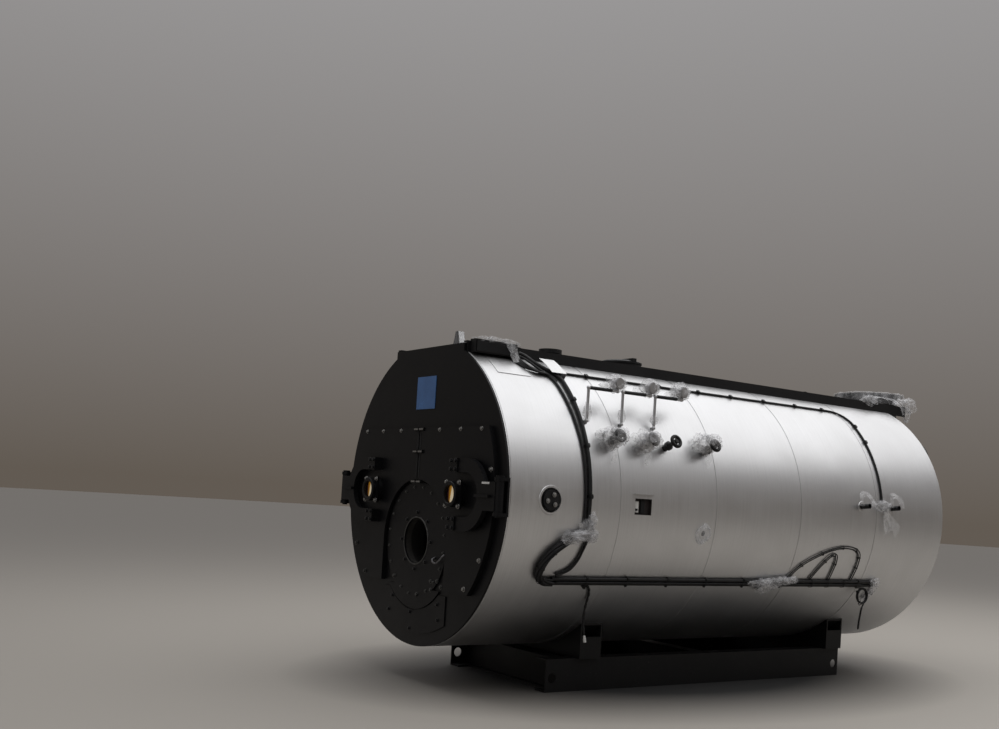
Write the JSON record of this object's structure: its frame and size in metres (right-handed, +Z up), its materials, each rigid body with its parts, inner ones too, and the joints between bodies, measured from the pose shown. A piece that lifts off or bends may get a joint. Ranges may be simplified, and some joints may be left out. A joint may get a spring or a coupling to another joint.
{
  "type": "horizontal fire-tube industrial boiler on a skid",
  "caption": "Horizontal fire-tube boiler in a jacketed round body on a beam skid, with hinged smokebox doors around the burner opening.",
  "frame": {"origin": "centre of the underside of the skid, on the floor", "axes": "+Z up, +Y from the burner end to the flue end, +X to the side with the valves and cable runs"},
  "size_m": [2.9272, 7.018, 3.27],
  "materials": {
    "black_paint": "satin black paint",
    "jacket_steel": "brushed sheet",
    "refractory": "cast refractory",
    "boiler_steel": "mill scale",
    "pipe_steel": "plain",
    "cable_sheath": "matt sheath",
    "plate_blue": "enamel, blank"
  },
  "bodies": {
    "vessel": {"front_plate": "black_paint", "left_hinge": "black_paint", "right_hinge": "black_paint", "burner_plate": "black_paint", "burner_throat": "refractory", "lower_cover": "black_paint", "furnace_tube": "boiler_steel", "furnace_end": "boiler_steel", "tube_plate": "boiler_steel", "fire_tubes": "boiler_steel", "smokebox_wrapper": "boiler_steel", "pressure_shell": "boiler_steel", "rear_head": "boiler_steel", "jacket_band_1": "jacket_steel", "jacket_band_2": "jacket_steel", "jacket_band_3": "jacket_steel", "jacket_band_4": "jacket_steel", "jacket_band_5": "jacket_steel", "rear_plate": "black_paint", "rear_smokebox": "black_paint", "rear_covers": "black_paint", "flue_collar": "black_paint", "left_kerb": "black_paint", "right_kerb": "black_paint", "deck": "black_paint", "lifting_lugs": "black_paint", "manhole": "black_paint", "blank_nozzle": "black_paint", "steam_outlet": "black_paint", "safety_nozzles": "black_paint", "left_skid_beam": "black_paint", "right_skid_beam": "black_paint", "skid_cross_members": "black_paint", "front_saddle": "black_paint", "rear_saddle": "black_paint", "hand_hole_cover": "black_paint", "side_nipples": "black_paint", "gauge_window": "jacket_steel", "gauge_pipes": "pipe_steel", "gauge_valves": "pipe_steel", "jacket_hatch": "jacket_steel", "junction_box": "black_paint", "front_loom": "cable_sheath", "lower_loom": "cable_sheath", "top_conduit": "cable_sheath", "loom_clips": "cable_sheath", "front_tail": "cable_sheath", "rear_coil": "cable_sheath", "rear_tail": "cable_sheath", "name_plate": "plate_blue"},
    "left_door": {"left_door": "black_paint", "left_lining": "refractory", "left_yoke": "black_paint", "left_sight_port": "black_paint"},
    "right_door": {"right_door": "black_paint", "right_lining": "refractory", "right_yoke": "black_paint", "right_sight_port": "black_paint"}
  },
  "joints": [
    {"name": "right_door_swing", "type": "hinge", "parent": "vessel", "child": "right_door", "pos_m": [1.385, -3.04, 1.74], "axis": [0, 0, 1], "range_deg": [0, 110]},
    {"name": "left_door_swing", "type": "hinge", "parent": "vessel", "child": "left_door", "pos_m": [-1.385, -3.04, 1.74], "axis": [0, 0, -1], "range_deg": [0, 110]}
  ]
}
